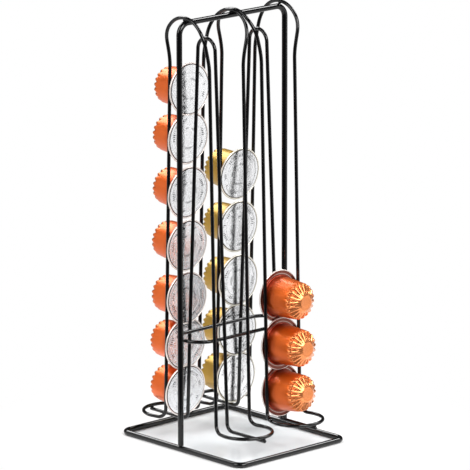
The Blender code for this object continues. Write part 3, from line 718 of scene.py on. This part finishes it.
def cupSkin():
    # Outer skin from the middle of the end, which is dished, to the foot of the side wall
    dish = ((0, 0.28), (1.2, 0.28), (2.4, 0.26), (2.9, 0.20), (3.3, 0.10), (3.8, 0.03),
            (4.3, 0.02), (4.7, 0.08))
    rows = [(radius, capsule["heightMm"] - drop) for radius, drop in dish]
    corner = Vector((capsule["shoulderMm"], capsule["shoulderHeightMm"]))
    top = Vector((capsule["endFlatMm"], capsule["heightMm"]))
    cone = corner - top
    wall = Vector((capsule["footMm"], capsule["footHeightMm"])) - corner
    for share in np.linspace(0.05, 1 - capsule["coneEase"], 15):
        rows.append(tuple(top + cone * share))
    start = corner - cone * capsule["coneEase"]
    end = corner + wall * capsule["wallEase"]
    for share in np.linspace(0, 1, 9)[1:]:
        rows.append(tuple(start.lerp(corner, share).lerp(corner.lerp(end, share), share)))
    for share in np.linspace(capsule["wallEase"], 0.97, 12)[1:]:  # the rest is the flange's fillet
        rows.append(tuple(corner + wall * share))
    return np.array(rows)


def normals(points):
    way = np.gradient(points, axis=0)
    out = np.stack([-way[:, 1], way[:, 0]], axis=1)
    return out / np.linalg.norm(out, axis=1)[:, None]


def shellProfile():
    # Each row is a radius, a height, the lobes' depth there and the way they are pressed
    skin = cupSkin()
    out = normals(skin)
    out[0] = (0, 1)
    depth = [lobeDepth(r, z) for r, z in skin]
    foot, rim, bead = capsule["footMm"], capsule["rimMm"], capsule["beadMm"]
    web = capsule["webTopMm"]
    rows = [(*point, lobe, *way) for point, lobe, way in zip(skin, depth, out)]
    for r, z in ((foot + 0.06, 1.18), (foot + 0.2, 0.96), (foot + 0.5, web), (foot + 1.2, web),
                 (foot + 2.0, web - 0.02), (rim - 2 * bead - 0.25, web - 0.04),
                 (rim - 2 * bead - 0.02, web + 0.02)):
        rows.append((r, z, 0, 0, 1))
    for angle in np.radians(np.linspace(150, -200, 19)):
        rows.append((rim - bead + bead * math.cos(angle), bead + bead * math.sin(angle), 0, 0, 1))
    under = web - capsule["webMm"]
    rows += [(rim - 2 * bead - 0.1, under, 0, 0, 1), (foot + 0.3, under, 0, 0, 1)]
    inside = skin - out * capsule["wallMm"]
    inside[:, 0] = np.maximum(inside[:, 0], 0)
    inside[0, 0] = 0
    for point, lobe, way in list(zip(inside, depth, out))[::-2] + [(inside[0], 0, (0, 1))]:
        rows.append((*point, lobe, *way))
    return rows


def lidProfile():
    # Foil sealed flat on the flange, drawn in a little at the seal's edge, crowned inside it
    back = foilLid["thickMm"]
    rows = [(0, back), (17.05, back), (17.1, 0.20), (17.05, 0.06), (16.9, 0.02), (16.4, 0.02),
            (15.4, 0.03), (14.9, 0.06), (14.5, 0.12), (14.1, 0.14), (13.6, 0.12)]
    for r in np.linspace(foilLid["crownMm"], 0, 30):
        dip = foilLid["crownDipMm"] * (1 - (r / foilLid["crownMm"]) ** 2)
        rows.append((r, foilLid["crownFootMm"] - dip))
    return [(r, z, 0, 0, 1) for r, z in rows]


def profileMesh(name, rows):
    rows = np.array(rows)
    mesh = bpy.data.meshes.new(name)
    points = np.stack([rows[:, 0], np.zeros(len(rows)), rows[:, 1]], axis=1) * mm
    mesh.from_pydata(points.tolist(), [(at, at + 1) for at in range(len(rows) - 1)], [])
    mesh.attributes.new("lobeDepth", "FLOAT", "POINT").data.foreach_set(
        "value", (rows[:, 2] * mm).astype(np.float32))
    ways = np.stack([rows[:, 3], np.zeros(len(rows)), rows[:, 4]], axis=1)
    mesh.attributes.new("pressWay", "FLOAT_VECTOR", "POINT").data.foreach_set(
        "vector", ways.astype(np.float32).ravel())
    return mesh


def outward(mesh):
    # Turns the faces round where the closed shape came out inside out
    mesh.calc_loop_triangles()
    points = np.array([v.co for v in mesh.vertices])
    corners = points[np.array([t.vertices for t in mesh.loop_triangles])]
    volume = np.einsum("ij,ij->i", corners[:, 0], np.cross(corners[:, 1], corners[:, 2])).sum()
    if volume < 0:
        mesh.flip_normals()
    return mesh


def seatOf(name):
    # The lid's middle and the way to the dome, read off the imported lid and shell. A capsule
    # leans about X alone.
    lid = np.array([v.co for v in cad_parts[name + "_lid"].data.vertices])
    shell = np.array([v.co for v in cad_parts[name + "_shell"].data.vertices])
    low, high = lid.min(0), lid.max(0)
    middle = (low + high) / 2
    way = np.linalg.svd(lid - lid.mean(0))[2][2]
    way = way * np.sign(np.dot(shell.mean(0) - middle, way))
    up = Vector(way)
    across = Vector((1, 0, 0))
    turn = Matrix((across, up.cross(across), up)).transposed().to_4x4()
    return Matrix.Translation(Vector(middle) - up * foilLid["thickMm"] / 2 * mm) @ turn


shellLine = profileMesh("shell line", shellProfile())
lidLine = profileMesh("lid line", lidProfile())
shellMeshes = {}
for word, finish in cupMaterials.items():
    shellMeshes[word] = outward(meshFromTree(shellLine.copy(), turnedTree, {
        "Segments": capsule["segments"], "Lobes": capsule["lobes"],
        "Lobe sharpness": capsule["sharpness"], "Crease height": 0.0, "Crease size": 1.0,
        "Seed": 0.0, "Finish": finish}))
dice = random.Random(7)
for column, total, word in (("left", 7, "orange"), ("back", 5, "gold"), ("right", 3, "orange")):
    for number in range(1, total + 1):
        body = f"{column}_capsule_{number}"
        seat = seatOf(body)
        spin = Matrix.Rotation(dice.uniform(0, 2 * math.pi), 4, "Z")
        shell = shellMeshes[word].copy()
        shell.transform(seat @ spin)
        addPiece(body + "_cup", shell, body, word + "_shell", body + "_shell")
        lid = outward(meshFromTree(lidLine.copy(), turnedTree, {
            "Segments": foilLid["segments"], "Lobes": 1, "Lobe sharpness": 1.0,
            "Crease height": foilLid["creaseHeightMm"] * mm,
            "Crease size": foilLid["creaseMm"] * mm, "Seed": dice.uniform(0, 50),
            "Finish": foilMaterial}))
        lid.transform(seat @ spin)
        addPiece(body + "_foil", lid, body, "foil_lid", body + "_lid")
print("capsules made")


camera = {"azimuth": -43.06, "elevation": 13.75, "distance": 3.505, "focalPx": 5092,
          "framePx": 470, "rollDeg": -0.07, "rightMm": 1.57, "heightMm": 145.0,
          "sensorMm": 36.0, "nearM": 0.1, "farM": 50}
# The table's shade colour, paintedShadeMm and paintedShadeSoftMm give a painted shade, a greyer
# floor inside the base ring
table = {"nearM": 0.12, "farM": 2.6, "leftM": -0.65, "rightM": 0.65, "colour": "ececec",
         "roughness": 0.13, "whiteFromM": 0.07, "whiteAtM": 0.18,
         "shade": "dfe2e4", "paintedShadeMm": (48, 58.5), "paintedShadeSoftMm": 1.5}
cards = {
    "right_card": {"azimuth": 43, "distanceM": 0.66, "widthM": 0.7, "lowM": -0.12,
                   "highM": 0.32, "level": 1.15},
    "left_card": {"azimuth": -138, "distanceM": 0.9, "widthM": 0.6, "lowM": -0.1,
                  "highM": 0.55, "level": 0.9},
}
tent = {"radiusM": 4.5, "lowDeg": -34, "highDeg": 84, "level": 0.06, "columns": 36,
        "rows": 12}
lamps = {
    "left softbox": {"azimuth": -100, "elevation": 35, "sizeM": (0.9, 1.1), "watts": 15},
    "back softbox": {"azimuth": 170, "elevation": 42, "sizeM": (1.1, 0.5), "watts": 18},
    "bar softbox": {"azimuth": 78, "elevation": 47, "sizeM": (0.45, 0.7), "watts": 17},
    "front softbox": {"azimuth": -6, "elevation": 34, "sizeM": (1.0, 0.8), "watts": 25},
}
studio = {"ambient": 0.55, "lampDistanceM": 1.6, "aimM": 0.15}


def stageSheet(name, points, faces, material):
    mesh = bpy.data.meshes.new(name)
    mesh.from_pydata(points, [], faces)
    mesh.materials.append(material)
    sheet = bpy.data.objects.new(name, mesh)
    bpy.context.scene.collection.objects.link(sheet)
    return sheet


def bearing(azimuth, elevation=0.0):
    # Unit vector from the object towards that bearing. Azimuth 0 stands at -Y.
    turn, rise = math.radians(azimuth), math.radians(elevation)
    return Vector((math.sin(turn) * math.cos(rise), -math.cos(turn) * math.cos(rise),
                   math.sin(rise)))


def seenRay(tree):
    # 1 for what the camera sees, straight, in a reflection or through something clear
    path = addNode(tree, "ShaderNodeLightPath")
    first = addNode(tree, "ShaderNodeMath", {0: path.outputs["Is Camera Ray"],
                                             1: path.outputs["Is Glossy Ray"]},
                    operation="MAXIMUM")
    return addNode(tree, "ShaderNodeMath", {0: first.outputs["Value"],
                                            1: path.outputs["Is Transmission Ray"]},
                   operation="MAXIMUM").outputs["Value"]


def makeTableTop():
    # White laminate whose satin face mirrors the stand faintly, with a painted shade inside the
    # base
    # ring: its colour is greyed there to stand in for the stand's shadow. Further out it looks as
    # white as the background, and still sends no more light to the object than a white sheet
    # does.
    material, tree = newMaterial("White laminate, satin")
    place = addNode(tree, "ShaderNodeTexCoord")
    parts = addNode(tree, "ShaderNodeSeparateXYZ", {"Vector": place.outputs["Object"]})
    reachX, reachY = table["paintedShadeMm"]
    under = [between(tree, parts.outputs[axis], -reach * mm, reach * mm,
                     table["paintedShadeSoftMm"] * mm)
             for axis, reach in (("X", reachX), ("Y", reachY))]
    inside = addNode(tree, "ShaderNodeMath", {0: under[0], 1: under[1]}, operation="MULTIPLY")
    # Painted shade: the laminate's colour is greyed inside the base ring, standing in for the
    # stand's shadow
    paintedShadeTone = addNode(tree, "ShaderNodeMix", {
        "Factor": inside.outputs["Value"], 6: fromHex(table["colour"]),
        7: fromHex(table["shade"])}, data_type="RGBA")
    shader = addNode(tree, "ShaderNodeBsdfPrincipled", {
        "Base Color": paintedShadeTone.outputs[2], "Roughness": table["roughness"]})
    away = addNode(tree, "ShaderNodeVectorMath", {0: place.outputs["Object"]},
                   operation="LENGTH")
    share = addNode(tree, "ShaderNodeMapRange", {
        "Value": away.outputs["Value"], "From Min": table["whiteFromM"],
        "From Max": table["whiteAtM"]}, interpolation_type="SMOOTHSTEP")
    white = addNode(tree, "ShaderNodeMath", {0: share.outputs["Result"], 1: seenRay(tree)},
                    operation="MULTIPLY")
    paper = addNode(tree, "ShaderNodeEmission", {"Color": (1, 1, 1, 1), "Strength": 1.0})
    surface = addNode(tree, "ShaderNodeMixShader", {
        0: white.outputs["Value"], 1: shader.outputs["BSDF"], 2: paper.outputs["Emission"]})
    addNode(tree, "ShaderNodeOutputMaterial", {"Surface": surface.outputs["Shader"]})
    return material


def makeTable():
    # It ends close in front of the stand, so that the wires mirror the dark flags from there
    towards, across = bearing(camera["azimuth"]), bearing(camera["azimuth"] + 90)
    corners = [towards * near + across * side for near, side in (
        (table["nearM"], table["leftM"]), (table["nearM"], table["rightM"]),
        (-table["farM"], table["rightM"]), (-table["farM"], table["leftM"]))]
    stageSheet("table", corners, [(0, 1, 2, 3)], makeTableTop())


def makeGlow(name, level):
    material, tree = newMaterial(name)
    shader = addNode(tree, "ShaderNodeEmission", {"Color": (1, 1, 1, 1), "Strength": level})
    addNode(tree, "ShaderNodeOutputMaterial", {"Surface": shader.outputs["Emission"]})
    return material


def onlyMirrored(sheet):
    sheet.visible_camera = sheet.visible_shadow = sheet.visible_diffuse = False


def makeCard(name, card):
    # White reflector that stands beside the frame and only shows in the polished pieces
    middle = bearing(card["azimuth"]) * card["distanceM"]
    half = bearing(card["azimuth"] + 90) * card["widthM"] / 2
    corners = []
    for side, height in ((-1, card["lowM"]), (1, card["lowM"]), (1, card["highM"]),
                         (-1, card["highM"])):
        corner = middle + half * side
        corner.z = height
        corners.append(corner)
    onlyMirrored(stageSheet(name, corners, [(0, 1, 2, 3)], makeGlow(
        "White card, matt", card["level"])))


def makeTent():
    # Dark flags all round. Only mirrored rays meet them, so the black wires stay black.
    columns, rows = tent["columns"], tent["rows"]
    points, faces = [], []
    for turn in np.linspace(-180, 180, columns + 1):
        for elevation in np.linspace(tent["lowDeg"], tent["highDeg"], rows + 1):
            points.append(bearing(camera["azimuth"] + turn, elevation) * tent["radiusM"])
    for column in range(columns):
        for row in range(rows):
            at = column * (rows + 1) + row
            faces.append((at, at + rows + 1, at + rows + 2, at + 1))
    onlyMirrored(stageSheet("flags", points, faces, makeGlow("Black flag cloth", tent["level"])))


def makeWorld(ambient):
    # White to the eye and to reflections, a plain level of sky light on the object
    world = bpy.data.worlds.new("White studio")
    bpy.context.scene.world = world
    world.use_nodes = True
    tree = world.node_tree
    tree.nodes.clear()
    strength = addNode(tree, "ShaderNodeMapRange", {
        "Value": seenRay(tree), "To Min": ambient, "To Max": 1.0})
    sky = addNode(tree, "ShaderNodeBackground", {"Color": (1, 1, 1, 1),
                                                 "Strength": strength.outputs["Result"]})
    addNode(tree, "ShaderNodeOutputWorld", {"Surface": sky.outputs["Background"]})


def addLamp(name, lamp):
    # A softbox at that bearing round the object, facing its middle
    light = bpy.data.lights.new(name, "AREA")
    light.shape = "RECTANGLE"
    light.size, light.size_y = lamp["sizeM"]
    light.energy = lamp["watts"]
    holder = bpy.data.objects.new(name, light)
    bpy.context.scene.collection.objects.link(holder)
    back = bearing(lamp["azimuth"], lamp["elevation"])
    holder.location = Vector((0, 0, studio["aimM"])) + back * studio["lampDistanceM"]
    holder.rotation_mode = "QUATERNION"
    holder.rotation_quaternion = back.to_track_quat("Z", "Y")


def makeCamera():
    data = bpy.data.cameras.new("camera")
    data.sensor_width = camera["sensorMm"]
    data.lens = camera["focalPx"] / camera["framePx"] * data.sensor_width
    data.clip_start, data.clip_end = camera["nearM"], camera["farM"]
    holder = bpy.data.objects.new("camera", data)
    bpy.context.scene.collection.objects.link(holder)
    back = bearing(camera["azimuth"], camera["elevation"])
    target = bearing(camera["azimuth"] + 90) * camera["rightMm"] * mm
    target.z += camera["heightMm"] * mm
    roll = Matrix.Rotation(math.radians(camera["rollDeg"]), 3, "Z").to_quaternion()
    holder.rotation_mode = "QUATERNION"
    holder.rotation_quaternion = back.to_track_quat("Z", "Y") @ roll
    holder.location = target + back * camera["distance"]
    bpy.context.scene.camera = holder


makeTable()
for name, card in cards.items():
    makeCard(name, card)
makeTent()
makeWorld(studio["ambient"])
for name, lamp in lamps.items():
    addLamp(name, lamp)
makeCamera()
bpy.context.scene.view_settings.view_transform = "Standard"
print("stage made")
